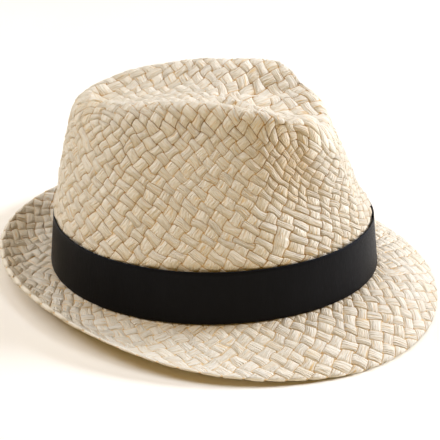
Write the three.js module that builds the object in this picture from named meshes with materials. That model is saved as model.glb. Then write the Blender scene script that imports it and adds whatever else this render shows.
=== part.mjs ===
import * as THREE from 'three';

// A woven straw trilby: crown, brim and ribbon band.
// Millimetres. The hat faces -Y, +X is the wearer's left, +Z is up.
// It is drawn with the head line level, then leant and lowered to stand by itself.

// Head oval and crown
const headLength = 206.6;
const headWidth = 169.0;
const headEgg = 0.059;
const crownTall = 118;
const wallThick = 1.8;
const wallLean = 3.7;

// Ring of ridges round the top dent, and the floor of that dent
const ridgeLength = 144.5;
const ridgeBack = 2.6;
const ridgeRoll = 2.4;
const creaseLength = 124;
const creaseBack = 6;

// Brim and ribbon
const brimWide = 45;
const brimThick = 2.0;
const ribbonTall = 33.5;
const ribbonThick = 0.8;
const seatGap = 0.3;

// Fineness of the faceting
const roundSteps = 72;
const crownRows = 24;
const brimRows = 9;
const ribbonRows = 3;

// Crown sections, one row for each angle from the front.
// out is the ridge's share of half the head width, high its share of the crown
// height. midOut and rimOut run from the ridge (0) to the head oval (1), and below 0
// the wall is pinched in under the ridge. midHigh and rimHigh run from the top of the
// ribbon (0) to the ridge (1).
const crownTable = [
  { deg: 0, out: 0.389, high: 0.797, midOut: 0.6, midHigh: 0.22, rimOut: 0.222, rimHigh: 0.76 },
  { deg: 8, out: 0.412, high: 0.803, midOut: 0.63, midHigh: 0.23, rimOut: 0.222, rimHigh: 0.765 },
  { deg: 15, out: 0.451, high: 0.815, midOut: 0.655, midHigh: 0.24, rimOut: 0.24, rimHigh: 0.77 },
  { deg: 24, out: 0.53, high: 0.848, midOut: 0.585, midHigh: 0.26, rimOut: 0.1, rimHigh: 0.78 },
  { deg: 38, out: 0.641, high: 0.927, midOut: 0.545, midHigh: 0.285, rimOut: 0.05, rimHigh: 0.79 },
  { deg: 56, out: 0.626, high: 0.987, midOut: 0.56, midHigh: 0.3, rimOut: 0.03, rimHigh: 0.8 },
  { deg: 76, out: 0.5, high: 1.001, midOut: 0.585, midHigh: 0.3, rimOut: 0.04, rimHigh: 0.815 },
  { deg: 96, out: 0.435, high: 1.0, midOut: 0.632, midHigh: 0.326, rimOut: 0.066, rimHigh: 0.85 },
  { deg: 124, out: 0.441, high: 0.961, midOut: 0.668, midHigh: 0.343, rimOut: 0.215, rimHigh: 0.92 },
  { deg: 152, out: 0.439, high: 0.92, midOut: 0.693, midHigh: 0.334, rimOut: 0.277, rimHigh: 0.942 },
  { deg: 180, out: 0.418, high: 0.908, midOut: 0.753, midHigh: 0.332, rimOut: 0.382, rimHigh: 0.942 },
];

// Floor of the top dent from its front end (-1) to its back end (1).
// high is a share of the crown height.
const floorTable = [
  { along: -1, high: 0.832 },
  { along: -0.75, high: 0.854 },
  { along: -0.5, high: 0.885 },
  { along: -0.25, high: 0.919 },
  { along: 0, high: 0.93 },
  { along: 0.25, high: 0.927 },
  { along: 0.5, high: 0.914 },
  { along: 0.75, high: 0.896 },
  { along: 1, high: 0.873 },
];

// Fall from the ridge to that floor. inward runs from the ridge (0) to the
// middle line (1), left is the share of the depth not yet dropped.
const dentTable = [
  { inward: 0.3, left: 0.86 },
  { inward: 0.56, left: 0.2 },
  { inward: 0.78, left: 0 },
  { inward: 1, left: 0 },
];

// Brim sections, one row for each angle from the front, as shares of the brim
// width. The bend is the control point between the head line and the edge.
const brimTable = [
  { deg: 0, edgeOut: 0.867, edgeUp: -0.489, bendOut: 0.444, bendUp: -0.111 },
  { deg: 45, edgeOut: 1.0, edgeUp: -0.429, bendOut: 0.578, bendUp: -0.133 },
  { deg: 70, edgeOut: 0.967, edgeUp: -0.256, bendOut: 0.6, bendUp: -0.2 },
  { deg: 90, edgeOut: 0.878, edgeUp: -0.078, bendOut: 0.556, bendUp: -0.2 },
  { deg: 115, edgeOut: 0.722, edgeUp: 0.144, bendOut: 0.467, bendUp: -0.156 },
  { deg: 135, edgeOut: 0.644, edgeUp: 0.24, bendOut: 0.422, bendUp: -0.111 },
  { deg: 160, edgeOut: 0.656, edgeUp: 0.267, bendOut: 0.444, bendUp: -0.089 },
  { deg: 180, edgeOut: 0.671, edgeUp: 0.273, bendOut: 0.444, bendUp: -0.089 },
];

const strawColour = 0xe2d2ae;
const ribbonColour = 0x141416;

const radians = Math.PI / 180;
const lerp = (a, b, t) => a + (b - a) * t;
const mix = (p, q, t) => p.map((value, axis) => lerp(value, q[axis], t));

// Smooth curve through the rows of a table, read at one place along key.
// A table of angles is mirrored at both ends, so left and right are alike.
function readTable(table, key, place, mirrored) {
  const last = table.length - 1;
  const row = (index) => table[Math.abs(index) > last ? 2 * last - index : Math.abs(index)];
  const at = (index) => {
    if (index < 0) return 2 * table[0][key] - table[-index][key];
    if (index > last) return 2 * table[last][key] - table[2 * last - index][key];
    return table[index][key];
  };
  const x = Math.min(Math.max(place, table[0][key]), table[last][key]);
  let k = 0;
  while (k < last - 1 && table[k + 1][key] <= x) k += 1;
  const h = at(k + 1) - at(k);
  const s = (x - at(k)) / h;
  const result = {};
  for (const column of Object.keys(table[0])) {
    if (column === key) continue;
    const slope = (index) => {
      const low = mirrored ? index - 1 : Math.max(index - 1, 0);
      const high = mirrored ? index + 1 : Math.min(index + 1, last);
      return (row(high)[column] - row(low)[column]) / (at(high) - at(low));
    };
    const a = row(k)[column];
    const b = row(k + 1)[column];
    result[column] = (2 * s ** 3 - 3 * s ** 2 + 1) * a + (s ** 3 - 2 * s ** 2 + s) * h * slope(k)
      + (3 * s ** 2 - 2 * s ** 3) * b + (s ** 3 - s ** 2) * h * slope(k + 1);
  }
  return result;
}

// Smooth curve that follows a chain of control points without passing the inner ones.
function followChain(points, t) {
  const segments = points.length - 2;
  const j = Math.min(Math.floor(t), segments - 1);
  const start = j === 0 ? points[0] : mix(points[j], points[j + 1], 0.5);
  const end = j === segments - 1 ? points[j + 2] : mix(points[j + 1], points[j + 2], 0.5);
  const s = t - j;
  return mix(mix(start, points[j + 1], s), mix(points[j + 1], end, s), s);
}

// Point of the egg-shaped head oval, grown outward by some millimetres.
function headOval(angle, out) {
  const wide = (headWidth / 2 + out) * Math.sin(angle) * (1 - headEgg * Math.cos(angle));
  return [wide, -(headLength / 2 + out) * Math.cos(angle)];
}

// Control points of the crown at one angle, from the head line over the ridge
// to the middle of the dent.
function crownChain(angle) {
  const degrees = Math.acos(Math.cos(angle)) / radians;
  const row = readTable(crownTable, 'deg', degrees, true);
  const foot = headOval(angle, 0);
  const ridgeTall = row.high * crownTall;
  const ridge = [
    row.out * headWidth / 2 * Math.sin(angle),
    ridgeBack - ridgeLength / 2 * Math.cos(angle),
  ];
  const along = -Math.cos(angle);
  const crease = [0, creaseBack + creaseLength / 2 * along];
  const floorTall = readTable(floorTable, 'along', along, false).high * crownTall;
  const run = Math.hypot(foot[0] - ridge[0], foot[1] - ridge[1]);
  const leant = 1 - wallLean / run;
  const wall = (share, tall) => [...mix(ridge, foot, share), tall];
  const inner = (share, tall) => [...mix(ridge, crease, share), tall];
  return [
    wall(1, 0),
    wall((1 + leant) / 2, ribbonTall * 0.5),
    wall(leant, ribbonTall),
    wall(row.midOut, lerp(ribbonTall, ridgeTall, row.midHigh)),
    wall((row.midOut + row.rimOut) / 2, lerp(ribbonTall, ridgeTall, (row.midHigh + row.rimHigh) / 2)),
    wall(row.rimOut, lerp(ribbonTall, ridgeTall, row.rimHigh)),
    wall(0, ridgeTall + ridgeRoll),
    ...dentTable.map((step) => inner(step.inward, lerp(floorTall, ridgeTall, step.left))),
  ];
}

// Straight run of the crown wall behind the ribbon, at one angle and height.
function lowerWall(angle, tall) {
  const chain = crownChain(angle);
  return mix(chain[0], chain[2], tall / ribbonTall);
}

// Upper face of the brim from its edge inward, the last row being the inner end of the
// flat seat under the crown and the ribbon.
function brimPoint(angle, row) {
  const foot = ribbonThick + seatGap;
  if (row === brimRows - 1) return [...headOval(angle, -wallThick), -seatGap];
  const degrees = Math.acos(Math.cos(angle)) / radians;
  const shape = readTable(brimTable, 'deg', degrees, true);
  const u = 1 - row / (brimRows - 2);
  const bend = 2 * u * (1 - u) * brimWide;
  const edge = u * u * brimWide;
  const out = bend * shape.bendOut + edge * shape.edgeOut;
  const up = bend * shape.bendUp + edge * shape.edgeUp;
  return [...headOval(angle, foot + out), up - seatGap];
}

// Grid of points round the hat joined into an open sheet, facing outward.
// With zipped set, the two sides share the points of the last row.
function makeSheet(rows, pointAt, zipped) {
  const points = [];
  const index = [];
  for (let row = 0; row < rows; row += 1) {
    index.push([]);
    for (let step = 0; step < roundSteps; step += 1) {
      const twin = roundSteps - step;
      if (zipped && row === rows - 1 && twin < step) {
        index[row].push(index[row][twin]);
      } else {
        index[row].push(points.length);
        points.push(new THREE.Vector3(...pointAt(step / roundSteps * 2 * Math.PI, row)));
      }
    }
  }
  const faces = [];
  for (let row = 0; row < rows - 1; row += 1) {
    for (let step = 0; step < roundSteps; step += 1) {
      const next = (step + 1) % roundSteps;
      const a = index[row][step];
      const b = index[row][next];
      const c = index[row + 1][next];
      const d = index[row + 1][step];
      if (step < roundSteps / 2) faces.push([a, b, c], [a, c, d]);
      else faces.push([a, b, d], [b, c, d]);
    }
  }
  return { points, faces };
}

// Closed wall between a sheet and the same sheet moved inward by the thickness.
// levelFoot keeps the first row level, so that its cut face stays flat.
function thicken(sheet, thick, levelFoot) {
  const { points, faces } = sheet;
  const normals = points.map(() => new THREE.Vector3());
  for (const [a, b, c] of faces) {
    const side = new THREE.Vector3().subVectors(points[b], points[a]);
    const other = new THREE.Vector3().subVectors(points[c], points[a]);
    side.cross(other);
    for (const corner of [a, b, c]) normals[corner].add(side);
  }
  const inner = points.map((point, i) => {
    if (levelFoot && i < roundSteps) normals[i].z = 0;
    return point.clone().addScaledVector(normals[i].normalize(), -thick);
  });
  const count = points.length;
  const solid = [];
  const edges = new Map();
  for (const [a, b, c] of faces) {
    solid.push([a, b, c], [a + count, c + count, b + count]);
    for (const [from, to] of [[a, b], [b, c], [c, a]]) {
      const back = `${to}_${from}`;
      if (edges.has(back)) edges.delete(back);
      else edges.set(`${from}_${to}`, [from, to]);
    }
  }
  for (const [from, to] of edges.values()) {
    solid.push([to, from, from + count], [to, from + count, to + count]);
  }
  return { points: [...points, ...inner], faces: solid };
}

const crownDomain = crownChain(0).length - 2;
const crown = thicken(
  makeSheet(
    crownRows,
    (angle, row) => followChain(crownChain(angle), row / (crownRows - 1) * crownDomain),
    true,
  ),
  wallThick,
  true,
);
const brim = thicken(makeSheet(brimRows, brimPoint, false), brimThick, false);

// The ribbon lies along the straight run of the crown wall, a seat gap outside it.
function ribbonPoint(angle, row) {
  const tall = row / (ribbonRows - 1) * ribbonTall;
  const small = Math.PI / roundSteps / 4;
  const point = lowerWall(angle, tall);
  const before = lowerWall(angle - small, tall);
  const after = lowerWall(angle + small, tall);
  const along = [after[0] - before[0], after[1] - before[1]];
  const size = Math.hypot(...along);
  const out = seatGap + ribbonThick;
  return [point[0] + along[1] / size * out, point[1] - along[0] / size * out, tall];
}
const band = thicken(makeSheet(ribbonRows, ribbonPoint, false), ribbonThick, true);

// Lean about X at which the front and the back of the brim reach down alike.
function restingLean(points) {
  let lean = 0;
  for (let pass = 0; pass < 12; pass += 1) {
    const lowest = [0, 1].map(() => [0, Infinity]);
    for (const point of points) {
      const y = point.y * Math.cos(lean) - point.z * Math.sin(lean);
      const z = point.y * Math.sin(lean) + point.z * Math.cos(lean);
      const side = y < 0 ? 0 : 1;
      if (z < lowest[side][1]) lowest[side] = [y, z];
    }
    lean -= Math.atan2(lowest[1][1] - lowest[0][1], lowest[1][0] - lowest[0][0]);
  }
  return lean;
}

const group = new THREE.Group();
group.name = 'trilby';

function addPiece(name, solid, look) {
  const geometry = new THREE.BufferGeometry();
  const numbers = solid.points.flatMap((point) => point.toArray());
  geometry.setAttribute('position', new THREE.Float32BufferAttribute(numbers, 3));
  geometry.setIndex(solid.faces.flat());
  geometry.computeVertexNormals();
  const mesh = new THREE.Mesh(geometry, new THREE.MeshStandardMaterial(look));
  mesh.name = name;
  group.add(mesh);
}

addPiece('crown', crown, { color: strawColour, roughness: 0.75, metalness: 0 });
addPiece('brim', brim, { color: strawColour, roughness: 0.75, metalness: 0 });
addPiece('band', band, { color: ribbonColour, roughness: 0.6, metalness: 0 });

// The hat stands on its brim, its lowest points at height 0 and its length centred.
group.rotation.x = restingLean(brim.points);
group.updateMatrixWorld(true);
const extent = new THREE.Box3().setFromObject(group, true);
group.position.y = -(extent.min.y + extent.max.y) / 2;
group.position.z = -extent.min.z;
group.updateMatrixWorld(true);

export default group;
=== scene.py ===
"""Looks of the woven straw trilby: woven skins for crown and brim, a ribbon, floor, lights and camera."""
import math

import bpy
import numpy as np
from mathutils import Matrix, Vector
from mathutils.bvhtree import BVHTree


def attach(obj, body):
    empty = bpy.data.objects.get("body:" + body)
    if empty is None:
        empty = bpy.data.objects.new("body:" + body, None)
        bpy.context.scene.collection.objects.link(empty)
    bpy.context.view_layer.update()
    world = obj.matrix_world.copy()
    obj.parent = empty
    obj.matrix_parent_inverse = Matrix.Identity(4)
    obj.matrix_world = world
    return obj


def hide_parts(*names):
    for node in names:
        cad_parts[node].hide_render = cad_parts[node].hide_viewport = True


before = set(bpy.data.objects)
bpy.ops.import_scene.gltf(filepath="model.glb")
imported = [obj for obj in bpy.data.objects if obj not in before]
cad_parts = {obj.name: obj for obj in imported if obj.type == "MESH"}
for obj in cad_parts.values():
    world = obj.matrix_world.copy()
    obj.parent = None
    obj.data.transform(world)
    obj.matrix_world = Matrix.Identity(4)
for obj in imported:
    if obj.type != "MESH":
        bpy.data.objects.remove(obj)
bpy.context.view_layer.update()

# sizes in mm, as in the part
HEAD_LENGTH, HEAD_WIDTH, HEAD_EGG = 206.6, 169.0, 0.059
CROWN_TALL, WALL_THICK, WALL_LEAN = 118.0, 1.8, 3.7
RIDGE_LENGTH, RIDGE_BACK, RIDGE_ROLL = 144.5, 2.6, 2.4
CREASE_LENGTH, CREASE_BACK = 124.0, 6.0
BRIM_WIDE, BRIM_THICK = 45.0, 2.0
RIBBON_TALL, RIBBON_THICK, SEAT_GAP = 33.5, 0.8, 0.3
LEAN = math.radians(-4.7697)
PLACE = np.array([0.0, 4.0702, 12.4899])
METRE = 1000
TINY = 1e-9

# degrees from the front, then shares: ridge out and high, waist out and high, shoulder out and high
CROWN_TABLE = np.array([
    [0, .389, .797, .600, .220, .222, .760],
    [8, .412, .803, .630, .230, .222, .765],
    [15, .451, .815, .655, .240, .240, .770],
    [24, .530, .848, .585, .260, .100, .780],
    [38, .641, .927, .545, .285, .050, .790],
    [56, .626, .987, .560, .300, .030, .800],
    [76, .500, 1.001, .585, .300, .040, .815],
    [96, .435, 1.000, .632, .326, .066, .850],
    [124, .441, .961, .668, .343, .215, .920],
    [152, .439, .920, .693, .334, .277, .942],
    [180, .418, .908, .753, .332, .382, .942],
])
# along the crease from its front (-1) to its back (1), height as a share of the crown's
FLOOR_TABLE = np.array([
    [-1, .832], [-.75, .854], [-.5, .885], [-.25, .919], [0, .930],
    [.25, .927], [.5, .914], [.75, .896], [1, .873],
])
# shares: inward from the ridge to the crease, height left above the crease
DENT_TABLE = np.array([[.3, .86], [.56, .2], [.78, 0], [1, 0]])
# degrees from the front, then shares of the brim's width: edge out and up, bend out and up
BRIM_TABLE = np.array([
    [0, .867, -.489, .444, -.111],
    [45, 1.000, -.429, .578, -.133],
    [70, .967, -.256, .600, -.200],
    [90, .878, -.078, .556, -.200],
    [115, .722, .144, .467, -.156],
    [135, .644, .240, .422, -.111],
    [160, .656, .267, .444, -.089],
    [180, .671, .273, .444, -.089],
])

# the part's surfaces


def smooth_table(table, place, mirrored):
    """Smooth curve through the rows of a table, read at many places along its first column."""
    x = table[:, 0]
    last = len(x) - 1
    place = np.clip(place, x[0], x[-1])
    k = np.clip(np.searchsorted(x, place, side="right") - 1, 0, last - 1)
    if mirrored:
        ends = np.vstack([table[1], table, table[-2]])
        ends[0, 0], ends[-1, 0] = 2 * x[0] - x[1], 2 * x[-1] - x[-2]
        slope = (ends[2:, 1:] - ends[:-2, 1:]) / (ends[2:, :1] - ends[:-2, :1])
    else:
        low, high = np.maximum(np.arange(last + 1) - 1, 0), np.minimum(np.arange(last + 1) + 1, last)
        slope = (table[high, 1:] - table[low, 1:]) / (table[high, :1] - table[low, :1])
    h = (x[k + 1] - x[k])[:, None]
    s = ((place - x[k])[:, None]) / h
    value = ((2 * s**3 - 3 * s**2 + 1) * table[k, 1:] + (s**3 - 2 * s**2 + s) * h * slope[k]
             + (3 * s**2 - 2 * s**3) * table[k + 1, 1:] + (s**3 - s**2) * h * slope[k + 1])
    return value.T


def head_oval(angle, out):
    """The head's egg-shaped oval in plan, a distance out from its line."""
    wide = (HEAD_WIDTH / 2 + out) * np.sin(angle) * (1 - HEAD_EGG * np.cos(angle))
    return np.stack([wide, -(HEAD_LENGTH / 2 + out) * np.cos(angle)], -1)


def degrees_from_front(angle):
    """Degrees from the front, 0 to 180 on either side."""
    return np.degrees(np.arccos(np.clip(np.cos(angle), -1, 1)))


def crown_controls(angle):
    """Control points of the crown wall at each angle: (points, angles, 3)."""
    out, high, mid_out, mid_high, rim_out, rim_high = smooth_table(
        CROWN_TABLE, degrees_from_front(angle), True)
    foot = head_oval(angle, 0)
    ridge_tall = high * CROWN_TALL
    ridge = np.stack([out * HEAD_WIDTH / 2 * np.sin(angle),
                      RIDGE_BACK - RIDGE_LENGTH / 2 * np.cos(angle)], -1)
    along = -np.cos(angle)
    crease = np.stack([0 * angle, CREASE_BACK + CREASE_LENGTH / 2 * along], -1)
    floor_tall = smooth_table(FLOOR_TABLE, along, False)[0] * CROWN_TALL
    run = np.hypot(*(foot - ridge).T)
    leant = 1 - WALL_LEAN / run

    def wall(share, tall):
        share = np.broadcast_to(share, angle.shape)[:, None]
        return np.concatenate([ridge + (foot - ridge) * share,
                               np.broadcast_to(tall, angle.shape)[:, None]], -1)

    def up(share):
        return RIBBON_TALL + (ridge_tall - RIBBON_TALL) * share

    chain = [wall(1, 0), wall((1 + leant) / 2, RIBBON_TALL * .5), wall(leant, RIBBON_TALL),
             wall(mid_out, up(mid_high)), wall((mid_out + rim_out) / 2, up((mid_high + rim_high) / 2)),
             wall(rim_out, up(rim_high)), wall(0, ridge_tall + RIDGE_ROLL)]
    for inward, left in DENT_TABLE:
        chain.append(np.concatenate([ridge + (crease - ridge) * inward,
                                     (floor_tall + (ridge_tall - floor_tall) * left)[:, None]], -1))
    return np.array(chain)


def follow_chain(chain, places):
    """Points of the smooth curve over a chain of controls, at each place (0 to controls - 2)."""
    segments = len(chain) - 2
    points = []
    for place in places:
        j = min(int(place), segments - 1)
        start = chain[0] if j == 0 else (chain[j] + chain[j + 1]) / 2
        end = chain[-1] if j == segments - 1 else (chain[j + 1] + chain[j + 2]) / 2
        s = place - j
        points.append((start * (1 - s) + chain[j + 1] * s) * (1 - s) + (chain[j + 1] * (1 - s) + end * s) * s)
    return np.array(points)


def by_length(points, places):
    """Points at given lengths along each column of a (rows, columns, 3) grid."""
    step = np.linalg.norm(np.diff(points, axis=0), axis=2)
    length = np.concatenate([np.zeros((1, points.shape[1])), np.cumsum(step, 0)])
    out = np.zeros(places.shape + (3,))
    for column in range(points.shape[1]):
        for axis in range(3):
            out[:, column, axis] = np.interp(places[:, column], length[:, column], points[:, column, axis])
    return out


def brim_section(angle, shares):
    """Upper face of the brim from the inner end of its seat to its edge: (places, angles, 3)."""
    edge_out, edge_up, bend_out, bend_up = smooth_table(BRIM_TABLE, degrees_from_front(angle), True)
    foot = RIBBON_THICK + SEAT_GAP
    rows = [np.concatenate([head_oval(angle, -WALL_THICK), np.full((len(angle), 1), -SEAT_GAP)], -1)]
    for u in shares:
        bend, edge = 2 * u * (1 - u) * BRIM_WIDE, u * u * BRIM_WIDE
        out = foot + bend * bend_out + edge * edge_out
        tall = bend * bend_up + edge * edge_up - SEAT_GAP
        rows.append(np.concatenate([head_oval(angle, out), tall[:, None]], -1))
    return np.array(rows)


def to_row(points):
    """Level hat millimetres to metres in the row frame."""
    x, y, z = points[..., 0], points[..., 1], points[..., 2]
    turned = np.stack([x, y * math.cos(LEAN) - z * math.sin(LEAN),
                       y * math.sin(LEAN) + z * math.cos(LEAN)], -1)
    return (turned + PLACE) / METRE


def grid_normals(points):
    """Outward normals of a grid that closes round its columns."""
    round_way = np.roll(points, -1, 1) - np.roll(points, 1, 1)
    up_way = np.gradient(points, axis=0)
    normal = np.cross(round_way, up_way)
    return normal / np.maximum(np.linalg.norm(normal, axis=-1, keepdims=True), TINY)


def smooth_step(x):
    """0 below 0, 1 above 1 and smooth between."""
    x = np.clip(x, 0, 1)
    return x * x * (3 - 2 * x)


def rises(x, place):
    """0 to 1 from the start of a place, over its length."""
    start, length = place
    return smooth_step((x - start) / length)


def falls(x, place):
    """1 to 0 up to the end of a place, over its length."""
    end, length = place
    return smooth_step((end - x) / length)


def hump(x, place):
    """1 in the middle of a place and less away from it."""
    middle, wide = place
    return np.exp(-((x - middle) / wide) ** 2)


def value_noise(points, size, seed):
    """Smooth noise from -1 to 1 at points in mm, with lumps of the given size."""
    count, offset = 32, 1000.37
    table = np.random.default_rng(seed).uniform(-1, 1, (count, count, count))
    scaled = points / size + offset
    cell = np.floor(scaled).astype(int)
    f = scaled - cell
    f = f * f * (3 - 2 * f)
    value = 0
    for dx in (0, 1):
        for dy in (0, 1):
            for dz in (0, 1):
                weight = (np.where(dx, f[:, 0], 1 - f[:, 0]) * np.where(dy, f[:, 1], 1 - f[:, 1])
                          * np.where(dz, f[:, 2], 1 - f[:, 2]))
                value = value + weight * table[(cell[:, 0] + dx) % count, (cell[:, 1] + dy) % count,
                                               (cell[:, 2] + dz) % count]
    return value


def layered_noise(points, layers, seed):
    """Sum of noises, each given as its lump size in mm, its own seed and its amount."""
    return sum(value_noise(points, size, own + seed) * amount for size, own, amount in layers)


# where the weave lies, with its lengths in strip diagonals
COLUMNS = 144
TOP_LONG, TOP_WIDE = 16, 10           # the top's rectangle of weave
ROUND = 2 * (TOP_LONG + TOP_WIDE)     # once round the crown
WALL_STRIPS = 12.0                    # from the rectangle's rim to the foot
BRIM_ROUND, BRIM_STRIPS = 68, 4.5     # once round the brim, and from its inner end to its edge
SLANT, SLANT_SWING, SLANT_TURN = .39, .13, .82
SLANT_FROM, SLANT_EASE = 1.5, 3
FOOT_STRETCH = .1
HALF_LONG, HALF_ACROSS = TOP_LONG / 2, TOP_WIDE / 2
RIM_CORNERS = [HALF_ACROSS, HALF_ACROSS + TOP_LONG,
               3 * HALF_ACROSS + TOP_LONG, 3 * HALF_ACROSS + 2 * TOP_LONG]
# places on the crown's chain of controls, rows of the grids, and mm from the ridge down to the rim
CHAIN_END, RIDGE_AT, CHAIN_SAMPLES = 9, 5.5, 361
WALL_ROWS, TOP_ROWS = 61, 21
RING_DROP = 14.0
BRIM_SAMPLES, BRIM_ROWS = 80, 41
LEAST_WEIGHT = .03
ANGLES = np.arange(COLUMNS) / COLUMNS * 2 * np.pi


def round_places(ring, total):
    """Place of each column on a closed ring, from 0 to the total, in step with the ring's length."""
    step = np.linalg.norm(np.roll(ring, -1, 0) - ring, axis=1)
    return np.concatenate([[0], np.cumsum(step)]) / step.sum() * total


dense = follow_chain(crown_controls(ANGLES), np.linspace(0, CHAIN_END, CHAIN_SAMPLES))
steps = np.linalg.norm(np.diff(dense, axis=0), axis=2)
lengths = np.concatenate([np.zeros((1, COLUMNS)), np.cumsum(steps, 0)])
ring_at = lengths[round(RIDGE_AT / CHAIN_END * (CHAIN_SAMPLES - 1))] - RING_DROP
wall = by_length(dense, ring_at * (1 - np.linspace(0, 1, WALL_ROWS))[:, None])
top = by_length(dense, ring_at + (lengths[-1] - ring_at) * np.linspace(0, 1, TOP_ROWS)[:, None])
wall_normals = -grid_normals(wall)
column_round = round_places(wall[0], ROUND)
for corner in RIM_CORNERS:
    column_round[np.argmin(abs(column_round - corner))] = corner


def rectangle_point(round_at):
    """Round position on the rectangle's rim to its place in the top's weave."""
    s = np.asarray(round_at, float) % ROUND
    sides = [s < corner for corner in RIM_CORNERS]
    level = 0 * s
    x = np.select(sides, [s, level + HALF_ACROSS, TOP_WIDE + TOP_LONG - s, level - HALF_ACROSS], s - ROUND)
    y = np.select(sides, [level - HALF_LONG, s - HALF_ACROSS - HALF_LONG, level + HALF_LONG,
                          HALF_LONG - (s - 3 * HALF_ACROSS - TOP_LONG)], level - HALF_LONG)
    return np.stack([x, y], -1)


def flat_top():
    """Even flat layout of the crown's top inside the rim: points, normals, flat places and a finder."""
    index = np.arange(TOP_ROWS * COLUMNS).reshape(TOP_ROWS, COLUMNS)
    for column in range(COLUMNS // 2 + 1, COLUMNS):
        index[-1, column] = index[-1, COLUMNS - column]
    used, packed = np.unique(index, return_inverse=True)
    index = packed.reshape(index.shape)
    points = top.reshape(-1, 3)[used]
    faces = []
    for row in range(TOP_ROWS - 1):
        for column in range(COLUMNS):
            after = (column + 1) % COLUMNS
            a, b = index[row, column], index[row, after]
            d, c = index[row + 1, column], index[row + 1, after]
            pair = [(a, b, c), (a, c, d)] if column < COLUMNS // 2 else [(a, b, d), (b, c, d)]
            faces += [face for face in pair if len(set(face)) == 3]
    faces = np.array(faces)
    count = len(points)
    matrix = np.zeros((count, count))
    normals = np.zeros((count, 3))
    corner = points[faces]
    np.add.at(normals, faces.reshape(-1), np.repeat(
        np.cross(corner[:, 1] - corner[:, 0], corner[:, 2] - corner[:, 0]), 3, axis=0))
    for k in range(3):
        i, j, o = faces[:, k], faces[:, (k + 1) % 3], faces[:, (k + 2) % 3]
        a, b = points[i] - points[o], points[j] - points[o]
        area = np.maximum(np.linalg.norm(np.cross(a, b), axis=1), TINY)
        weight = np.maximum((a * b).sum(1) / area, LEAST_WEIGHT)
        np.add.at(matrix, (i, j), -weight)
        np.add.at(matrix, (j, i), -weight)
        np.add.at(matrix, (i, i), weight)
        np.add.at(matrix, (j, j), weight)
    rim = index[0]
    inside = np.setdiff1d(np.arange(count), rim)
    flat = np.zeros((count, 2))
    flat[rim] = rectangle_point(column_round[:-1])
    flat[inside] = np.linalg.solve(matrix[np.ix_(inside, inside)], -matrix[np.ix_(inside, rim)] @ flat[rim])
    normals[rim] = wall_normals[0]
    normals /= np.maximum(np.linalg.norm(normals, axis=1, keepdims=True), TINY)
    finder = BVHTree.FromPolygons([(x, y, 0) for x, y in flat], [tuple(int(v) for v in f) for f in faces])
    return points, normals, flat, faces, finder


TOP_POINTS, TOP_NORMALS, TOP_FLAT, TOP_FACES, TOP_FINDER = flat_top()


def on_top(flat):
    """Points and normals of the crown at flat places inside the rectangle."""
    points, normals = np.zeros((len(flat), 3)), np.zeros((len(flat), 3))
    for n, (x, y) in enumerate(flat):
        spot, _, face, _ = TOP_FINDER.find_nearest(Vector((x, y, 0)))
        a, b, c = TOP_FLAT[TOP_FACES[face]]
        matrix = np.array([[b[0] - a[0], c[0] - a[0]], [b[1] - a[1], c[1] - a[1]]])
        u, v = np.linalg.solve(matrix, np.array([spot.x, spot.y]) - a)
        share = np.array([1 - u - v, u, v])
        points[n] = share @ TOP_POINTS[TOP_FACES[face]]
        normals[n] = share @ TOP_NORMALS[TOP_FACES[face]]
    return points, normals


def grid_read(grid, column, row):
    """Bilinear reading of a grid that closes round its columns."""
    column = column % grid.shape[1]
    c = np.floor(column).astype(int) % grid.shape[1]
    r = np.clip(np.floor(row).astype(int), 0, grid.shape[0] - 2)
    f, g = (column - np.floor(column))[:, None], (row - r)[:, None]
    after = (c + 1) % grid.shape[1]
    return ((grid[r, c] * (1 - f) + grid[r, after] * f) * (1 - g)
            + (grid[r + 1, c] * (1 - f) + grid[r + 1, after] * f) * g)


def twist(round_at, down):
    """Sideways drift of the strips down the wall, in strip diagonals."""
    slant = SLANT + SLANT_SWING * np.cos(2 * np.pi * (round_at / ROUND - SLANT_TURN))
    ramp = np.clip(down - SLANT_FROM, 0, None)
    return slant * np.where(ramp < SLANT_EASE, ramp**2 / (2 * SLANT_EASE), ramp - SLANT_EASE / 2)


def on_wall(round_at, down):
    """Points and normals of the crown wall; down runs from the rim (0) to the foot (WALL_STRIPS)."""
    s = (round_at + twist(round_at, down)) % ROUND
    column = np.interp(s, column_round, np.arange(COLUMNS + 1))
    share = down / WALL_STRIPS
    share = share * (1 - FOOT_STRETCH + FOOT_STRETCH * share)
    row = share * (WALL_ROWS - 1)
    return grid_read(wall, column, row), grid_read(wall_normals, column, row)


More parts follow.
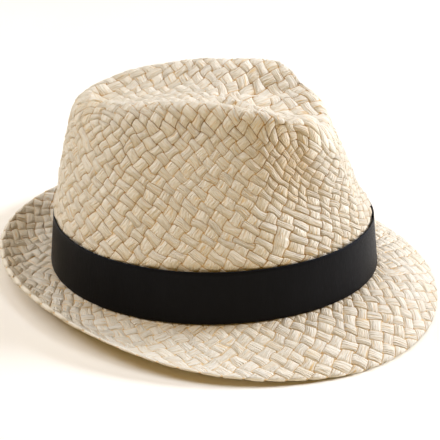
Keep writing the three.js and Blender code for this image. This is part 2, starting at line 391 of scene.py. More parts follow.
def crown_place(region, s, h):
    """Points and normals of places in the crown's weave.

    In region 0, the wall, s runs round and h runs down. In region 1, the top, they are x and y.
    """
    points, normals = np.zeros((len(s), 3)), np.zeros((len(s), 3))
    flat = np.zeros((len(s), 2))
    is_top = region == 1
    # wall places above the rim go over to the top
    over = ~is_top & (h < -TINY)
    base = s[over] % ROUND
    side = np.searchsorted(RIM_CORNERS, base, side="right")
    inward = np.array([[0, 1], [-1, 0], [0, -1], [1, 0], [0, 1]])[side]
    flat[over] = rectangle_point(base) + inward * (-h[over])[:, None]
    # top places outside the rectangle go over to the wall
    flat[is_top] = np.stack([s[is_top], h[is_top]], -1)
    beyond_x, beyond_y = abs(s) - HALF_ACROSS, abs(h) - HALF_LONG
    outside = is_top & ((beyond_x > TINY) | (beyond_y > TINY))
    use_x = beyond_x >= beyond_y
    round_at = np.where(outside & use_x & (s > 0), HALF_ACROSS + HALF_LONG + h, s)
    round_at = np.where(outside & use_x & (s < 0), 3 * HALF_ACROSS + 3 * HALF_LONG - h, round_at)
    round_at = np.where(outside & ~use_x & (h < 0), s, round_at)
    round_at = np.where(outside & ~use_x & (h > 0), TOP_WIDE + TOP_LONG - s, round_at)
    down = np.where(outside, np.maximum(beyond_x, beyond_y), h)
    use_top = over | (is_top & ~outside)
    points[use_top], normals[use_top] = on_top(flat[use_top])
    points[~use_top], normals[~use_top] = on_wall(round_at[~use_top], np.maximum(down[~use_top], 0))
    return points, normals


brim_dense = brim_section(ANGLES, np.linspace(0, 1, BRIM_SAMPLES))
brim_length = np.linalg.norm(np.diff(brim_dense, axis=0), axis=2).sum(0)
brim_grid = by_length(brim_dense, brim_length * np.linspace(0, 1, BRIM_ROWS)[:, None])
brim_normals = -grid_normals(brim_grid)
brim_round = round_places(brim_grid[BRIM_ROWS // 2], BRIM_ROUND)


def brim_place(region, s, h):
    """Points and normals of the brim's upper face: round and outward places in the weave."""
    column = np.interp(s % BRIM_ROUND, brim_round, np.arange(COLUMNS + 1))
    row = h / BRIM_STRIPS * (BRIM_ROWS - 1)
    return grid_read(brim_grid, column, row), grid_read(brim_normals, column, row)


# woven skins
FINE = np.array([-1, -.92, -.76, 0, .76, .92, 1])
COARSE = np.array([-1, -.6, 0, .6, 1])
SIDES = ((-1, 0), (1, 0), (0, -1), (0, 1))
SIDE_STRIPS = ((0, -1), (0, 1), (-1, 0), (1, 0))
LONG_FLOATS = .012
# the sides of a float, in half cells; lumps in mm
BULGE, BULGE_VARIES, BULGE_LUMP, BULGE_SEED = -.15, 1.2, 2.3, 41
TILT, TILT_LUMP, TILT_SEED, TILT_FROM, TILT_PUSH = .9, 2.1, 43, .6, .16
# the rise of a strip, as a share of its relief
HALF_WIDE, HALF_NARROWS, HALF_VARIES, SIDE_SLOPE = .985, .06, .03, .11
END_POWER, END_VARIES = 6, 8
PUFF_ACROSS, PUFF_LEAN, PUFF_PITCH = .16, .3, .15
RISE_LEAST, RISE_VARIES = .76, .42
CELL_EDGE = .999
# how dark the gaps are painted: painted shade in the pits, and on the seams partly their darker joints,
# partly painted shade
PIT_GAP, SEAM_GAP, PIT_LEAST = 1.0, .55, .8
SEAM_BASE, SEAM_BOLD, EDGE_FADE = .35, .65, .03
# noise layers: lump size in mm, seed, amount in mm
WANDERS = ((6.5, 31, 1.35), (15.0, 61, 1.5))
CRUMPLES = ((3.1, 17, .28), (1.7, 19, .20))
WELD = .03
# fibre places: mm along one cell and across half a strip, and the most shift of a strip
FIBRE_LONG, FIBRE_WIDE, FIBRE_SHIFT, FIBRE_UNIT = 7.5, 3.4, 900, 10
STRIP_SLOTS, SECOND_FAMILY, TOP_FAMILY = 4096, 131, 977
SHIFT_SEED, TONE_SEED = 5, 9
CELL_TONE, STRIP_TONE, RIM_TONE = .55, .45, .4


def lay_cells(round_count, rows, with_top):
    """Weave cells as (region, centre, centre, strip id of one family, strip id of the other)."""
    cells = []
    for k in range(0, int(round(rows * 2)) + 1):
        for m in range(round_count):
            s = m + (k + 1) % 2 / 2
            h = k / 2
            cells.append((0, s, h, round(s + h - .5), round(s - h - .5)))
    if with_top:
        reach, margin = (TOP_WIDE + TOP_LONG) // 2, .01
        for i in range(-reach, reach):
            for j in range(-reach, reach):
                x, y = (i + j + 1) / 2, (i - j) / 2
                if abs(x) < TOP_WIDE / 2 - margin and abs(y) < TOP_LONG / 2 - margin:
                    cells.append((1, x, y, i, j))
    return np.array(cells, float)


def turn_over(cells, round_count, first_over, flipped):
    """Turn over some cells, so that each makes one float of three.

    first_over is changed in place. The result tells for each cell whether its neighbours at x-, x+, y-
    and y+ then show the same strip as the cell does.
    """
    region, _, _, strip_a, strip_b = cells.T

    def key(a, b):
        return int(a - b), int((a + b) % (2 * round_count))

    lookup = {key(a, b): k for k, (a, b) in enumerate(zip(strip_a, strip_b)) if region[k] == 0}
    alike = np.zeros((len(cells), len(SIDES)), bool)
    for k in np.flatnonzero(flipped):
        around = [lookup.get(key(strip_a[k] + a, strip_b[k] + b)) for a, b in SIDE_STRIPS]
        if None in around or alike[around].any() or alike[k].any():
            continue
        first_over[k] = ~first_over[k]
        alike[k] = True
        for side, other in enumerate(around):
            alike[other, side ^ 1] = True
    return alike


def push_sides(place, cells, first, meets_x, meets_y, x, y):
    """Places inside the cells, pushed so that every side of a float has its own amount and slant.

    Each strip is narrower than the step between strips, so its floats are longer than they are wide.
    """
    region, cell_s, cell_h, _, _ = cells.T
    bulge, tilt = np.zeros((4, len(cells), 1)), np.zeros((4, len(cells), 1))
    for side, (side_x, side_y) in enumerate(SIDES):
        mid_h = cell_h + (side_y - side_x) / 4
        middle, _ = place(region, cell_s + (side_x + side_y) / 4, mid_h)
        bulge[side, :, 0] = BULGE * (1 + BULGE_VARIES * value_noise(middle, BULGE_LUMP, BULGE_SEED))
        slants = (region == 0) & (mid_h > TILT_FROM)
        tilt[side, :, 0] = TILT * value_noise(middle, TILT_LUMP, TILT_SEED) * slants
    bulge_x, bulge_y = np.where(x > 0, bulge[1], bulge[0]), np.where(y > 0, bulge[3], bulge[2])
    tilt_x, tilt_y = np.where(x > 0, tilt[1], tilt[0]), np.where(y > 0, tilt[3], tilt[2])
    push_x = bulge_x * x * np.abs(x) ** 3 * (1 - y**6) * meets_x * np.where(first, -1, 1)
    push_x = push_x + TILT_PUSH * tilt_x * np.abs(x) ** 3 * y * (1 - y**2)
    push_y = bulge_y * y * np.abs(y) ** 3 * (1 - x**6) * meets_y * np.where(first, 1, -1)
    push_y = push_y + TILT_PUSH * tilt_y * np.abs(y) ** 3 * x * (1 - x**2)
    return x + push_x, y + push_y


def strip_heights(along, across, open_end, rng):
    """Height of the strips over the pits, and how deep in a gap between strips each place lies."""
    count = len(open_end)

    def drawn():
        return rng.random(count)[:, None]

    at_side = np.abs(across) > CELL_EDGE
    at_end = (np.abs(along) > CELL_EDGE) & ~open_end
    half = HALF_WIDE - HALF_NARROWS * np.abs(along) ** 4 - HALF_VARIES * drawn()
    side = np.where(at_side, 0, smooth_step((half - np.abs(across)) / SIDE_SLOPE))
    ends = np.where(open_end, 1, 1 - np.abs(along) ** (END_POWER + END_VARIES * drawn()))
    puff = (1 - PUFF_ACROSS * across**2
            + PUFF_LEAN * (drawn() - .5) * across + PUFF_PITCH * (drawn() - .5) * along)
    rise = side * ends * puff * (RISE_LEAST + RISE_VARIES * drawn())
    gap = np.where(at_side & at_end, PIT_GAP, np.where(at_side | at_end, SEAM_GAP, 0.0))
    return rise, gap


def cell_triangles(cells, rows, n, with_top):
    """Triangles of all cells as sample numbers, the cell of each, and its corners within the cell.

    Half cells at the two ends are cut along their level diagonal.
    """
    region, _, cell_h, _, _ = cells.T
    iy, ix = np.meshgrid(np.arange(n - 1), np.arange(n - 1), indexing="ij")
    iy, ix = iy.reshape(-1), ix.reshape(-1)
    corner = iy * n + ix
    low = np.stack([corner, corner + 1, corner + n + 1], -1)
    high = np.stack([corner, corner + n + 1, corner + n], -1)
    at_low = (region == 0) & (cell_h == 0) & (not with_top)
    at_high = (region == 0) & (cell_h == rows)
    whole = np.ones(len(corner), bool)
    triangles, owner, local = [], [], []
    for part, low_end, high_end in ((low, iy > ix, iy <= ix), (high, iy >= ix, iy < ix)):
        for chosen, keep in ((~at_low & ~at_high, whole), (at_low, low_end), (at_high, high_end)):
            ids = np.flatnonzero(chosen)
            triangles.append((ids[:, None, None] * n * n + part[keep][None]).reshape(-1, 3))
            local.append(np.broadcast_to(part[keep][None], (len(ids), keep.sum(), 3)).reshape(-1, 3))
            owner.append(np.repeat(ids, keep.sum()))
    return np.concatenate(triangles), np.concatenate(owner), np.concatenate(local)


def weave_skin(place, thick, round_count, rows, with_top, samples, depth, relief, inner, seed, calm):
    """One woven side of a wall, as a dict of vertices (mm), triangles and what its material reads.

    depth is how far the pits lie under the surface that place gives, and relief is how high the strips
    rise from there. inner turns the skin over, so that it is the other side of the same wall. calm gives
    what changes over the hat: the relief, the seams, the strips' wander, the painted shade, the outer
    skin's swell and the shift of both skins.
    """
    rng = np.random.default_rng(seed)
    cells = lay_cells(round_count, rows, with_top)
    count, n = len(cells), len(samples)
    region, cell_s, cell_h, strip_a, strip_b = cells.T
    odd = (strip_a + strip_b) % 2 == 1
    first_over = np.where(region == 0, odd, ~odd)
    if inner:
        first_over = ~first_over
    flipped = (rng.random(count) < LONG_FLOATS) & (region == 0) & (cell_h > 1) & (cell_h < rows - 1)
    alike = turn_over(cells, round_count, first_over, flipped)
    grid_y, grid_x = np.meshgrid(samples, samples, indexing="ij")
    x, y = grid_x.reshape(-1), grid_y.reshape(-1)
    first = first_over[:, None]
    along, across = np.where(first, x, y), np.where(first, y, x)
    meets_x = 1 - np.where(x > 0, alike[:, 1:2], alike[:, 0:1])
    meets_y = 1 - np.where(y > 0, alike[:, 3:4], alike[:, 2:3])
    pushed_x, pushed_y = push_sides(place, cells, first, meets_x, meets_y, x, y)
    s = cell_s[:, None] + (pushed_x + pushed_y) / 4
    h = cell_h[:, None] + (pushed_y - pushed_x) / 4
    rise, gap = strip_heights(along, across, np.where(first, meets_x, meets_y) == 0, rng)

    # one vertex for each place, however many cells meet there
    points, normals = place(np.repeat(region, n * n), s.reshape(-1), h.reshape(-1))
    spots = np.round(points / WELD).astype(int)
    _, kept, where = np.unique(spots, axis=0, return_index=True, return_inverse=True)
    where = where.reshape(-1)
    times = np.bincount(where)
    rise = np.bincount(where, rise.reshape(-1)) / times
    gap = np.bincount(where, gap.reshape(-1)) / times
    points, normals = points[kept], normals[kept]
    share = h.reshape(-1)[kept] / rows

    wander = np.stack([layered_noise(points, WANDERS, axis) for axis in range(3)], -1)
    wander -= (wander * normals).sum(1, keepdims=True) * normals
    wander *= calm(points, share, "wander")[:, None]
    crumple = layered_noise(points, CRUMPLES, seed)
    bold = calm(points, share, "relief")
    seams = (SEAM_BASE + SEAM_BOLD * bold) * calm(points, share, "seams")
    gap *= np.where(gap > PIT_LEAST, 1, seams) * smooth_step((1 - share) / EDGE_FADE)
    lift = -depth + relief * rise * bold + crumple * np.minimum(rise, 1)
    if inner:
        lift = -(thick - depth) - (lift + depth)
    else:
        lift += calm(points, share, "swell")
    lift += calm(points, share, "shift")
    vertices = points + wander + normals * lift[:, None]

    triangles, owner, local = cell_triangles(cells, rows, n, with_top)
    faces = where[triangles]
    # fibre places along and across the strip in mm, shifted for each strip
    strip = np.where(first_over, strip_a, strip_b) + SECOND_FAMILY * first_over + TOP_FAMILY * (region == 1)
    slot = strip.astype(int) % STRIP_SLOTS
    shift = np.random.default_rng(seed + SHIFT_SEED).uniform(0, FIBRE_SHIFT, STRIP_SLOTS)[slot]
    run = np.where(first_over, strip_b, strip_a)
    fibre = np.stack([(along[owner[:, None], local] / 2 + run[owner][:, None]) * FIBRE_LONG,
                      across[owner[:, None], local] * FIBRE_WIDE + shift[owner][:, None]], -1)
    strip_tone = np.random.default_rng(seed + TONE_SEED).random(STRIP_SLOTS)[slot]
    tone = rng.random(count)[owner] * CELL_TONE + strip_tone[owner] * STRIP_TONE
    face_normal = np.cross(vertices[faces[:, 1]] - vertices[faces[:, 0]],
                           vertices[faces[:, 2]] - vertices[faces[:, 0]])
    outward = (face_normal * normals[faces[:, 0]]).sum() > 0
    if outward == bool(inner):
        faces, fibre = faces[:, ::-1], fibre[:, ::-1]
    loops = {}
    for name, at in (("low", 0), ("high", rows)):
        end_cells = np.flatnonzero((region == 0) & (cell_h == at))
        end_cells = end_cells[np.argsort(cell_s[end_cells])]
        diagonal = np.arange(n - 1) * (n + 1)
        ids = where[(end_cells[:, None] * n * n + diagonal).reshape(-1)]
        loops[name] = (ids, s[end_cells][:, diagonal].reshape(-1))
    # only the outer skin carries the painted shade
    return {"points": vertices, "faces": faces, "fibre": fibre, "tone": tone, "rise": rise, "gap": gap,
            "stain": calm(points, share, "stain") * (not inner), "loops": loops}


def zip_loops(loop_a, loop_b, total):
    """Triangles between two loops of vertices that run round alike."""
    (a, round_a), (b, round_b) = loop_a, loop_b

    def after(places, k):
        if k + 1 < len(places):
            return places[k + 1]
        return places[0] + total if k < len(places) else np.inf

    i = j = 0
    faces = []
    while i < len(a) or j < len(b):
        if after(round_a, i) <= after(round_b, j):
            faces.append((a[i], a[(i + 1) % len(a)], b[j % len(b)]))
            i += 1
        else:
            faces.append((a[i % len(a)], b[(j + 1) % len(b)], b[j]))
            j += 1
    return np.array(faces)


def join_skins(outer, inner, round_count, ends):
    """One dict from two skins, closed by a strip of triangles along each of the ends."""
    shift = len(outer["points"])
    strips = []
    for end in ends:
        ids, round_at = inner["loops"][end]
        faces = zip_loops(outer["loops"][end], (ids + shift, round_at), round_count)
        strips.append(faces if end == "low" else faces[:, ::-1])
    extra = np.concatenate(strips)
    joined = {key: np.concatenate([outer[key], inner[key]]) for key in ("points", "rise", "gap", "stain")}
    joined["faces"] = np.concatenate([outer["faces"], inner["faces"] + shift, extra])
    joined["fibre"] = np.concatenate([outer["fibre"], inner["fibre"], np.zeros((len(extra), 3, 2))])
    joined["tone"] = np.concatenate([outer["tone"], inner["tone"], np.full(len(extra), RIM_TONE)])
    return joined


def make_piece(name, data, material):
    """Blender object from a dict of vertices in mm and triangles. Nothing goes under the floor."""
    mesh = bpy.data.meshes.new(name)
    used, faces = np.unique(data["faces"], return_inverse=True)
    faces = faces.reshape(-1, 3)
    points = to_row(data["points"][used])
    points[:, 2] = np.maximum(points[:, 2], 0)
    mesh.from_pydata(points.tolist(), [], faces.tolist())
    mesh.polygons.foreach_set("use_smooth", np.ones(len(mesh.polygons), bool))
    fibre = mesh.uv_layers.new(name="fibre")
    fibre.data.foreach_set("uv", (data["fibre"].reshape(-1) / FIBRE_UNIT).astype(np.float32))
    tone = mesh.attributes.new("tone", "FLOAT", "FACE")
    tone.data.foreach_set("value", data["tone"].astype(np.float32))
    for key in ("rise", "gap", "stain"):
        if key in data:
            values = mesh.attributes.new(key, "FLOAT", "POINT")
            values.data.foreach_set("value", data[key][used].astype(np.float32))
    mesh.materials.append(material)
    mesh.update()
    mesh.validate()
    piece = bpy.data.objects.new(name, mesh)
    bpy.context.scene.collection.objects.link(piece)
    return piece


# materials


class Nodes:
    """Short way to add shader nodes."""

    def __init__(self, name):
        self.material = bpy.data.materials.new(name)
        self.material.use_nodes = True
        self.tree = self.material.node_tree
        self.tree.nodes.clear()
        self.shader = self.add("ShaderNodeBsdfPrincipled")
        output = self.add("ShaderNodeOutputMaterial")
        self.link(self.shader.outputs[0], output.inputs["Surface"])

    def add(self, kind, **values):
        node = self.tree.nodes.new(kind)
        for key, value in values.items():
            setattr(node, key, value)
        return node

    def link(self, source, target):
        self.tree.links.new(source, target)

    def attribute(self, name):
        return self.add("ShaderNodeAttribute", attribute_name=name).outputs["Fac"]

    def uv(self, name):
        return self.add("ShaderNodeUVMap", uv_map=name).outputs["UV"]

    def noise(self, vector, scale, detail=2.0, rough=.5, stretch=None):
        if stretch:
            node = self.add("ShaderNodeMapping")
            self.link(vector, node.inputs["Vector"])
            node.inputs["Scale"].default_value = stretch
            vector = node.outputs[0]
        node = self.add("ShaderNodeTexNoise")
        self.link(vector, node.inputs["Vector"])
        node.inputs["Scale"].default_value = scale
        node.inputs["Detail"].default_value = detail
        node.inputs["Roughness"].default_value = rough
        return node.outputs["Fac"]

    def math(self, operation, a, b=0.0, clamp=False):
        node = self.add("ShaderNodeMath", operation=operation, use_clamp=clamp)
        for socket, value in zip(node.inputs, (a, b)):
            if isinstance(value, (int, float)):
                socket.default_value = value
            else:
                self.link(value, socket)
        return node.outputs[0]

    def map(self, value, low, high, to_low=0.0, to_high=1.0):
        node = self.add("ShaderNodeMapRange")
        self.link(value, node.inputs["Value"])
        for key, number in (("From Min", low), ("From Max", high), ("To Min", to_low), ("To Max", to_high)):
            node.inputs[key].default_value = number
        return node.outputs[0]

    def ramp(self, value, stops):
        node = self.add("ShaderNodeValToRGB")
        self.link(value, node.inputs["Fac"])
        elements = node.color_ramp.elements
        while len(elements) < len(stops):
            elements.new(.5)
        for element, (place, colour) in zip(elements, stops):
            element.position = place
            element.color = (*colour, 1)
        return node.outputs["Color"]

    def mix(self, share, a, b, blend="MIX"):
        node = self.add("ShaderNodeMix", data_type="RGBA", blend_type=blend)
        for socket, value in ((node.inputs[0], share), (node.inputs[6], a), (node.inputs[7], b)):
            if isinstance(value, (int, float)):
                socket.default_value = value
            elif isinstance(value, tuple):
                socket.default_value = (*value, 1)
            else:
                self.link(value, socket)
        return node.outputs[2]

    def bump(self, height, distance, strength=1.0):
        node = self.add("ShaderNodeBump")
        self.link(height, node.inputs["Height"])
        node.inputs["Distance"].default_value = distance
        node.inputs["Strength"].default_value = strength
        return node.outputs[0]


# colours
STRAW_LIGHT, STRAW_MID, STRAW_DARK = (.86, .78, .61), (.82, .73, .55), (.77, .66, .46)
# warm tan of the painted shade laid over the pinch, along the ribbon and on the rear brim
STRAW_PAINTED_SHADE = (.60, .44, .23)
# the fibre lines' colour, also the painted shade in the strips' low places; then the colour of the pits and
# seams, painted shade that on the seams is partly darker joints
STRAW_FIBRE_AND_SHADE, STRAW_JOINT_AND_SHADE = (.74, .47, .16), (.32, .13, .02)
RIBBON_LOW, RIBBON_HIGH = (.002, .002, .0025), (.005, .005, .006)
FLOOR_LOW, FLOOR_HIGH, FLOOR_GLOW = (.92, .85, .70), (.95, .88, .72), (1, .98, .95)
# stretch of the noises along and across the fibres, and scale of those in space
CREASE_STRETCH, FIBRE_STRETCH = (.9, 8.0, 1.0), (2.2, 17.0, 1.0)
RIB_STRETCH, CLOUD_STRETCH = (60.0, 1.2, 1.0), (1.1, .35, 1.0)
BLOTCH_SCALE, BROKEN_SCALE, STREAK_SCALE, GRAIN_SCALE = 28.0, 190.0, 85.0, 6.0
# in metres, the height of the bumps and where the floor starts to glow and glows fully
CREASE_BUMP, RIB_BUMP = .003, .00025
GLOW_FROM, GLOW_TO, GLOW_STRENGTH = .55, 2.2, 1.2


def straw_material(name):
    """Flat paper straw: cream strips with lengthwise creases, with painted shade, tan to brown, in their low
    places, in the pits and partly on the seams between them, and warm painted shade over marked zones.
    """
    n = Nodes(name)
    uv = n.uv("fibre")
    tone, gap = n.attribute("tone"), n.attribute("gap")
    place = n.add("ShaderNodeTexCoord").outputs["Object"]
    creases = n.noise(uv, 1.0, stretch=CREASE_STRETCH)
    fine = n.noise(uv, 1.0, stretch=FIBRE_STRETCH)
    blotch = n.noise(place, BLOTCH_SCALE)
    broken = n.noise(place, BROKEN_SCALE)
    shade = n.math("ADD", n.math("MULTIPLY", tone, .35), n.math("MULTIPLY", blotch, .6))
    body = n.ramp(shade, [(.15, STRAW_DARK), (.5, STRAW_MID), (.85, STRAW_LIGHT)])
    # painted shade: the straw turns warm tan where the hat is marked as shaded, varied by the blotch noise
    painted_shade_share = n.math("MULTIPLY", n.attribute("stain"), n.map(blotch, .35, .65, .6, 1.3), clamp=True)
    body = n.mix(painted_shade_share, body, STRAW_PAINTED_SHADE)
    # painted shade: the strips' low places, by their rise, turn orange-tan
    low = n.map(n.attribute("rise"), .0, .4, .8, 0.0)
    lined = n.mix(low, body, STRAW_FIBRE_AND_SHADE)
    streaky = n.map(n.noise(place, STREAK_SCALE, detail=1.0), .35, .65, .25, 1.0)
    lines = n.math("MULTIPLY", streaky, n.map(creases, .30, .44, .9, 0.0))
    lined = n.mix(lines, lined, STRAW_FIBRE_AND_SHADE)
    lined = n.mix(n.map(fine, .32, .46, .45, 0.0), lined, STRAW_FIBRE_AND_SHADE)
    # painted shade in the pits between strips, and on the seams partly their darker joints
    edge = n.math("MULTIPLY", n.math("POWER", gap, 1.5), n.map(broken, .40, .60, .35, 2.0), clamp=True)
    n.link(n.mix(edge, lined, STRAW_JOINT_AND_SHADE), n.shader.inputs["Base Color"])
    n.shader.inputs["Roughness"].default_value = .6
    n.shader.inputs["Specular IOR Level"].default_value = .3
    height = n.math("ADD", n.math("MULTIPLY", creases, .65), n.math("MULTIPLY", fine, .35))
    n.link(n.bump(height, CREASE_BUMP, .9), n.shader.inputs["Normal"])
    return n.material


def ribbon_material(name):
    """Black ribbon with fine upright ribs and a soft sheen."""
    n = Nodes(name)
    uv = n.uv("fibre")
    ribs = n.noise(uv, 1.0, detail=1.0, stretch=RIB_STRETCH)
    cloudy = n.noise(uv, 1.0, stretch=CLOUD_STRETCH)
    shade = n.math("ADD", n.math("MULTIPLY", ribs, .6), n.math("MULTIPLY", cloudy, .4))
    n.link(n.ramp(shade, [(.3, RIBBON_LOW), (.7, RIBBON_HIGH)]), n.shader.inputs["Base Color"])
    n.shader.inputs["Roughness"].default_value = .42
    n.shader.inputs["Specular IOR Level"].default_value = .09
    n.link(n.bump(ribs, RIB_BUMP, .5), n.shader.inputs["Normal"])
    return n.material


def floor_material(name):
    """Pale floor that glows, from none by the hat to bright white further out, and so also lights the hat."""
    n = Nodes(name)
    place = n.add("ShaderNodeTexCoord").outputs["Object"]
    grain = n.noise(place, GRAIN_SCALE)
    n.link(n.ramp(grain, [(.3, FLOOR_LOW), (.7, FLOOR_HIGH)]), n.shader.inputs["Base Color"])
    n.shader.inputs["Roughness"].default_value = .85
    n.shader.inputs["Specular IOR Level"].default_value = .1
    away = n.add("ShaderNodeVectorMath", operation="LENGTH")
    n.link(place, away.inputs[0])
    n.shader.inputs["Emission Color"].default_value = (*FLOOR_GLOW, 1)
    glow = n.map(away.outputs["Value"], GLOW_FROM, GLOW_TO, 0, GLOW_STRENGTH)
    n.link(glow, n.shader.inputs["Emission Strength"])
    return n.material


# what changes over the hat: for a hump a place is its middle and width, and else an end and a length
# places in degrees round the head from the front
CALM_SIDE, SEAM_SIDE, PINCH_CORNER = (86, 32), (80, 50), (19, 7)
HOLLOW_FRONT, HOLLOW_BACK, PINCH_SHADE_FRONT, PINCH_SHADE_BACK = (24, 13), (78, 34), (24, 8), (78, 44)
BRIM_CALM_SIDE, BRIM_SEAM_SIDE, BRIM_SHADE_SIDE = (95, 26), (92, 32), (95, 35)
BRIM_REAR, BRIM_REAR_SHADE = (112, 20), (112, 30)
# places in mm up the crown, and in mm across the hat
WALL_TOP, PINCH_FOOT, PINCH_HEAD, PINCH_SHADE_TALL = (CROWN_TALL * .9, 15), (46, 22), (122, 18), (86, 21)
UNDER_RIBBON, RIBBON_SWELL, SWELL_FOOT = (RIBBON_TALL - 3, 3), (RIBBON_TALL + 3, 4.0), (RIBBON_TALL - 1, 2)
RIBBON_SHADE_BAND, FOOT_WANDER, NEAR_SIDE = (RIBBON_TALL, 9), (0, 6), (10, 20)
# places in shares of the brim's width
INNER_SHADE, REAR_SHADE_FROM, EDGE_WANDER = (0, .24), (.25, .5), (1, .15)
# amounts; the swell, the corner and the hollow are in mm
RELIEF, RELIEF_CALM, RELIEF_UNDER, RELIEF_REAR = 1.15, .6, .45, .5
CROWN_SEAMS, BRIM_SEAMS = .3, .75
SWELL, CORNER_OUT, HOLLOW_IN = 1.1, 2.2, 4.8
# amounts of painted shade: on the crown's pinch, along the ribbon, on the brim by the ribbon, its least
# share, and on the rear brim
PINCH_SHADE_PAINT, RIBBON_SHADE_PAINT, BRIM_SHADE_PAINT, SHADE_PAINT_LEAST, REAR_SHADE_PAINT = .85, .16, .6, .4, .2
WANDER_LEAST = .1


def round_degrees(points):
    """Degrees round the head from the front, 0 to 180 on either side."""
    return np.abs(np.degrees(np.arctan2(points[:, 0] / HEAD_WIDTH, -points[:, 1] / HEAD_LENGTH)))


def crown_calm(points, share, what):
    """Amounts over the crown at points in mm. The shift sharpens the front corner of its side pinch."""
    around, tall = round_degrees(points), points[:, 2]
    wall_only = falls(tall, WALL_TOP)
    pinched = rises(tall, PINCH_FOOT) * falls(tall, PINCH_HEAD)
    if what == "relief":
        under = 1 - rises(tall, UNDER_RIBBON)
        return (RELIEF - RELIEF_CALM * hump(around, CALM_SIDE) * wall_only) * (1 - RELIEF_UNDER * under)
    if what == "seams":
        return 1 + CROWN_SEAMS * hump(around, SEAM_SIDE) * wall_only
    if what == "swell":
        return SWELL * hump(tall, RIBBON_SWELL) * rises(tall, SWELL_FOOT)
    if what == "shift":
        hollow = rises(around, HOLLOW_FRONT) * falls(around, HOLLOW_BACK)
        return pinched * (CORNER_OUT * hump(around, PINCH_CORNER) - HOLLOW_IN * hollow)
    # painted shade: warm shade painted on the near side of the side pinch, and a little along the ribbon's
    # top edge
    if what == "stain":
        shaded = rises(around, PINCH_SHADE_FRONT) * falls(around, PINCH_SHADE_BACK) * hump(tall, PINCH_SHADE_TALL)
        return (PINCH_SHADE_PAINT * shaded * falls(points[:, 0], NEAR_SIDE)
                + RIBBON_SHADE_PAINT * hump(tall, RIBBON_SHADE_BAND))
    return rises(tall, FOOT_WANDER)


def brim_calm(points, share, what):
    """Amounts over the brim, also by the share of its width. It has no swell and no shift."""
    around = round_degrees(points)
    if what == "relief":
        return (RELIEF - RELIEF_CALM * hump(around, BRIM_CALM_SIDE)
                + RELIEF_REAR * rises(around, BRIM_REAR))
    if what in ("swell", "shift"):
        return 0 * around
    if what == "seams":
        return 1 - BRIM_SEAMS * hump(around, BRIM_SEAM_SIDE)
    # painted shade: warm shade painted on the brim along the ribbon's foot, most at the sides, and on the
    # upper face of the rear brim outward from its middle
    if what == "stain":
        beside = SHADE_PAINT_LEAST + (1 - SHADE_PAINT_LEAST) * hump(around, BRIM_SHADE_SIDE)
        return (BRIM_SHADE_PAINT * hump(share, INNER_SHADE) * beside
                + REAR_SHADE_PAINT * rises(around, BRIM_REAR_SHADE) * rises(share, REAR_SHADE_FROM))
    return WANDER_LEAST + (1 - WANDER_LEAST) * falls(share, EDGE_WANDER)


# the ribbon in mm, with its rows in shares of its height
RIBBON_COLUMNS, RIBBON_ROUND = 360, 600
RIBBON_FRONT, RIBBON_BACK = np.linspace(.012, .988, 14), np.linspace(.985, .015, 5)
EDGE_OUT, HALF_STEP = .35, np.pi / 288
EDGE_LUMP, EDGE_SEED, EDGE_WAVE, EDGE_POWER = 22.0, 77, .22, 6
RIPPLE_LUMP, RIPPLE_SEED, RIPPLE, RIPPLE_TALL = 17.0, 78, .12, .35
RING_RADIUS = 90


def ribbon_data():
    """The ribbon: a thin closed band with a slightly uneven top edge."""
    angle = np.arange(RIBBON_COLUMNS) / RIBBON_COLUMNS * 2 * np.pi
    chain, before, after = [crown_controls(angle + turned) for turned in (0, -HALF_STEP, HALF_STEP)]

    def noise_place(tall):
        return np.stack([np.cos(angle) * RING_RADIUS, np.sin(angle) * RING_RADIUS, tall], -1)

    profile = [(0, EDGE_OUT)] + [(t, RIBBON_THICK) for t in RIBBON_FRONT]
    profile += [(1, EDGE_OUT)] + [(t, 0) for t in RIBBON_BACK]
    edge = value_noise(noise_place(0 * angle), EDGE_LUMP, EDGE_SEED) * EDGE_WAVE
    rows = []
    for share, out in profile:
        tall = share * RIBBON_TALL + edge * share**EDGE_POWER
        t = (tall / RIBBON_TALL)[:, None]
        point, point_before, point_after = [c[0] * (1 - t) + c[2] * t for c in (chain, before, after)]
        way = point_after[:, :2] - point_before[:, :2]
        way /= np.linalg.norm(way, axis=1, keepdims=True)
        proud = SEAT_GAP + out
        if out > 0:
            proud = proud + value_noise(noise_place(tall * RIPPLE_TALL), RIPPLE_LUMP, RIPPLE_SEED) * RIPPLE
        rows.append(np.stack([point[:, 0] + way[:, 1] * proud, point[:, 1] - way[:, 0] * proud, tall], -1))
    points = np.array(rows)
    index = np.arange(len(rows) * RIBBON_COLUMNS).reshape(len(rows), RIBBON_COLUMNS)
    step = RIBBON_ROUND / RIBBON_COLUMNS
    faces, fibre = [], []
    for row in range(len(rows)):
        for column in range(RIBBON_COLUMNS):
            corners = [(row, column), (row, column + 1), (row + 1, column + 1), (row + 1, column)]
            spots = [(r % len(rows), c % RIBBON_COLUMNS) for r, c in corners]
            for triple in ((0, 1, 2), (0, 2, 3)):
                faces.append([index[spots[k]] for k in triple])
                fibre.append([(corners[k][1] * step, points[spots[k]][2]) for k in triple])
    return {"points": points.reshape(-1, 3), "faces": np.array(faces), "fibre": np.array(fibre, float),
            "tone": np.full(len(faces), .5)}


# the hat
CROWN_WEAVE = (crown_place, WALL_THICK, ROUND, WALL_STRIPS, True)
BRIM_WEAVE = (brim_place, BRIM_THICK, BRIM_ROUND, BRIM_STRIPS, False)
straw_crown = straw_material("crown_straw")
straw_brim = straw_material("brim_straw")

outer = weave_skin(*CROWN_WEAVE, samples=FINE, depth=.75, relief=1.0, inner=False, seed=3, calm=crown_calm)
inner = weave_skin(*CROWN_WEAVE, samples=COARSE, depth=.70, relief=.80, inner=True, seed=4, calm=crown_calm)
crown = make_piece("woven_crown", join_skins(outer, inner, ROUND, ["high"]), straw_crown)
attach(crown, "root")
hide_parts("crown")

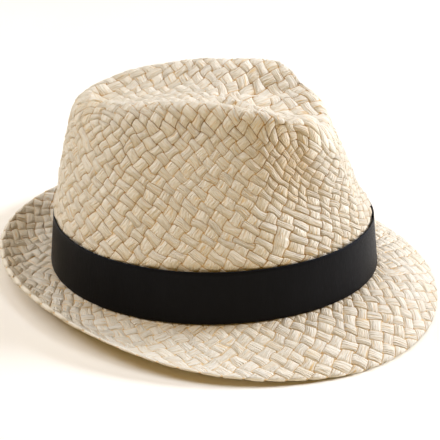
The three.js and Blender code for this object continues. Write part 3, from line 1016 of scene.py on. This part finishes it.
outer = weave_skin(*BRIM_WEAVE, samples=FINE, depth=.75, relief=1.0, inner=False, seed=5, calm=brim_calm)
inner = weave_skin(*BRIM_WEAVE, samples=FINE, depth=.75, relief=.52, inner=True, seed=6, calm=brim_calm)
brim = make_piece("woven_brim", join_skins(outer, inner, BRIM_ROUND, ["low", "high"]), straw_brim)
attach(brim, "root")
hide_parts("brim")

ribbon = make_piece("ribbon_band", ribbon_data(), ribbon_material("ribbon"))
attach(ribbon, "root")
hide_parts("band")

# floor, lights and camera, in metres and watts
FLOOR_SIZE, FLOOR_PARTS = 6, 8
HORIZON, OVERHEAD = (.015, FLOOR_GLOW), (.10, (.31, .197, .031))
LIT_SPOT = (0, 0, .06)
# name, place, size, power, colour
LIGHTS = (
    ("key", (.62, -1.50, .80), .5, 43.0, (.66, .755, 1)),
    ("rear", (0, 1.35, 1.0), .5, 11.5, (.66, .755, 1)),
    ("over_rear", (-.10, .62, 1.45), .9, 10.0, (.68, .762, .97)),
    ("over_front", (.10, -.35, 1.50), .7, 8.5, (.68, .762, .97)),
)
AZIMUTH, ELEVATION, ROLL = math.radians(-82.5), math.radians(29.7), math.radians(-.5)
# distance in mm from the level hat's origin; focal length, picture size and centre in pixels
DISTANCE, FOCAL, IMAGE, CENTRE = 895.0, 1396.0, 440.0, (213.6, 253.1)
SENSOR, CLIP_END = 36, 20


def area_light(name, place, size, power, colour):
    """Round area light that faces the hat."""
    light = bpy.data.lights.new(name, "AREA")
    light.shape = "DISK"
    light.size = size
    light.energy = power
    light.color = colour
    thing = bpy.data.objects.new(name, light)
    bpy.context.scene.collection.objects.link(thing)
    thing.location = place
    thing.rotation_euler = (Vector(LIT_SPOT) - Vector(place)).to_track_quat("-Z", "Y").to_euler()


bpy.ops.mesh.primitive_grid_add(x_subdivisions=FLOOR_PARTS, y_subdivisions=FLOOR_PARTS, size=FLOOR_SIZE,
                                location=(0, 0, 0))
floor = bpy.context.object
floor.name = "floor"
floor.data.materials.append(floor_material("floor_pale"))

world = bpy.data.worlds.new("studio")
bpy.context.scene.world = world
world.use_nodes = True
sky = world.node_tree
direction = sky.nodes.new("ShaderNodeTexCoord")
split = sky.nodes.new("ShaderNodeSeparateXYZ")
sky.links.new(direction.outputs["Generated"], split.inputs[0])
fade = sky.nodes.new("ShaderNodeValToRGB")
sky.links.new(split.outputs["Z"], fade.inputs["Fac"])
for element, (position, colour) in zip(fade.color_ramp.elements, (HORIZON, OVERHEAD)):
    element.position = position
    element.color = (*colour, 1)
sky.links.new(fade.outputs["Color"], sky.nodes["Background"].inputs["Color"])

for light in LIGHTS:
    area_light(*light)

back = np.array([math.sin(AZIMUTH) * math.cos(ELEVATION), -math.cos(AZIMUTH) * math.cos(ELEVATION),
                 math.sin(ELEVATION)])
right = np.array([math.cos(AZIMUTH), math.sin(AZIMUTH), 0])
up = np.cross(back, right)
right, up = (math.cos(ROLL) * right + math.sin(ROLL) * up, -math.sin(ROLL) * right + math.cos(ROLL) * up)
turn = np.array(Matrix.Rotation(LEAN, 3, "X"))
camera_data = bpy.data.cameras.new("camera")
camera = bpy.data.objects.new("camera", camera_data)
bpy.context.scene.collection.objects.link(camera)
camera_data.sensor_width = SENSOR
camera_data.lens = SENSOR * FOCAL / IMAGE
camera_data.shift_x = (IMAGE / 2 - CENTRE[0]) / IMAGE
camera_data.shift_y = (CENTRE[1] - IMAGE / 2) / IMAGE
camera_data.clip_end = CLIP_END
basis = np.eye(4)
basis[:3, 0], basis[:3, 1], basis[:3, 2] = turn @ right, turn @ up, turn @ back
basis[:3, 3] = to_row(DISTANCE * back)
camera.matrix_world = Matrix(basis.tolist())
bpy.context.scene.camera = camera
bpy.context.scene.view_settings.view_transform = "Standard"
